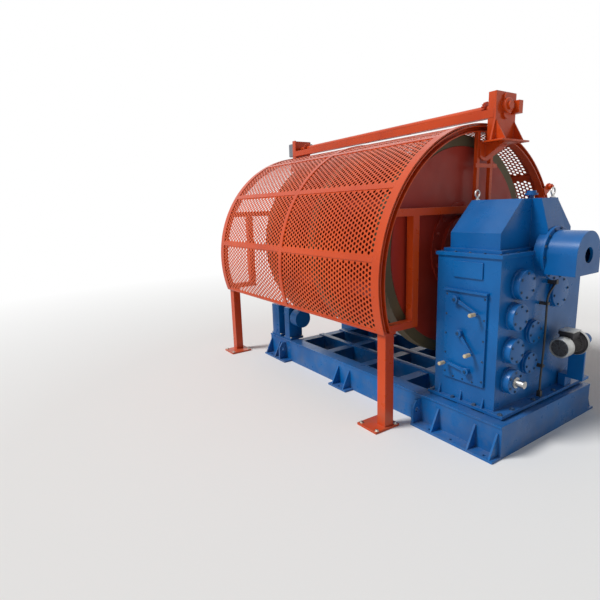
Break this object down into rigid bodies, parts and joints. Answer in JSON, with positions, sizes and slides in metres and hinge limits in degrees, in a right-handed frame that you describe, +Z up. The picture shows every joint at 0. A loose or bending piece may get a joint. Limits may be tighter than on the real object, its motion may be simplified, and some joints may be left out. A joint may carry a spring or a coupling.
{
  "type": "rigid stranding machine",
  "caption": "Cable stranding machine unit: disc rotor on a hollow shaft, gearbox on a plinth, ladder base, arched perforated swinging guard with lift shaft.",
  "frame": {"origin": "on the floor under the shaft axis, at the middle of the gearbox plinth", "axes": "+X along the machine towards the gearbox's output end, +Y to the back, +Z up"},
  "size_m": [3.5763, 2.242, 2.37],
  "materials": {
    "blue_paint": "gloss",
    "orange_paint": "gloss",
    "bare_steel": "machined",
    "primed_steel": "satin",
    "grey_paint": "satin",
    "cast_aluminium": "cast",
    "beige_plastic": "matte",
    "black_rubber": "satin"
  },
  "bodies": {
    "frame": {"back_shell": "orange_paint", "back_shell_ribs": "orange_paint", "base_side_beams": "blue_paint", "bearing_covers": "blue_paint", "blank_plate": "blue_paint", "breather": "blue_paint", "cross_beams": "blue_paint", "drive_stub_shaft": "bare_steel", "end_frames": "orange_paint", "eyebolts": "bare_steel", "gearbox_body": "blue_paint", "gearbox_hat": "blue_paint", "guard_hoops": "orange_paint", "guard_posts": "orange_paint", "hoop_side_bracket": "orange_paint", "hose_fittings": "black_rubber", "lift_gear_motor": "grey_paint", "lift_pedestals": "orange_paint", "lubrication_hose": "black_rubber", "oil_pump": "blue_paint", "oil_pump_motor": "cast_aluminium", "plinth": "blue_paint", "roller_stands": "blue_paint", "shaft_end_cover": "blue_paint", "side_cover": "blue_paint", "switch_box": "orange_paint", "top_beam": "orange_paint"},
    "rotor": {"main_shaft": "bare_steel", "rotor_discs": "orange_paint", "rotor_rims": "primed_steel", "hub_flange": "orange_paint", "rotor_tie_beams": "orange_paint"},
    "guard": {"guard_sheets": "orange_paint", "guard_bands": "orange_paint", "guard_seam_bars": "orange_paint", "guard_guide_shoes": "orange_paint"},
    "lift": {"lift_shaft": "orange_paint"},
    "front_support_roller": {"front_roller": "bare_steel"},
    "back_support_roller": {"back_roller": "bare_steel"},
    "lever_top": {"top_lever": "blue_paint", "top_lever_knob": "beige_plastic"},
    "lever_middle": {"middle_lever": "blue_paint", "middle_lever_knob": "beige_plastic"},
    "lever_low": {"low_lever": "blue_paint", "low_lever_knob": "beige_plastic"}
  },
  "joints": [
    {"name": "rotor_turn", "type": "hinge", "parent": "frame", "child": "rotor", "pos_m": [-0.5, 0, 1.24], "axis": [1, 0, 0], "continuous": true},
    {"name": "guard_swing", "type": "hinge", "parent": "frame", "child": "guard", "pos_m": [-1.619, 0.14, 1.055], "axis": [1, 0, 0], "range_deg": [-80, 0]},
    {"name": "lift_shaft_turn", "type": "hinge", "parent": "frame", "child": "lift", "pos_m": [-1.6, 0.22, 2.262], "axis": [1, 0, 0], "continuous": true},
    {"name": "front_roller_turn", "type": "hinge", "parent": "frame", "child": "front_support_roller", "pos_m": [-2.02, -0.5, 0.46142], "axis": [1, 0, 0], "continuous": true},
    {"name": "back_roller_turn", "type": "hinge", "parent": "frame", "child": "back_support_roller", "pos_m": [-2.02, 0.5, 0.46142], "axis": [1, 0, 0], "continuous": true},
    {"name": "top_lever_turn", "type": "hinge", "parent": "frame", "child": "lever_top", "pos_m": [-0.087, -0.525, 0.955], "axis": [0, 1, 0], "range_deg": [-20, 20]},
    {"name": "middle_lever_turn", "type": "hinge", "parent": "frame", "child": "lever_middle", "pos_m": [-0.051, -0.525, 0.73], "axis": [0, 1, 0], "range_deg": [-20, 20]},
    {"name": "low_lever_turn", "type": "hinge", "parent": "frame", "child": "lever_low", "pos_m": [0.016, -0.525, 0.479], "axis": [0, 1, 0], "range_deg": [-20, 20]}
  ],
  "couplings": [
    {"joint": "front_roller_turn", "follows": "rotor_turn", "ratio": -9.2778},
    {"joint": "back_roller_turn", "follows": "rotor_turn", "ratio": -9.2778}
  ]
}
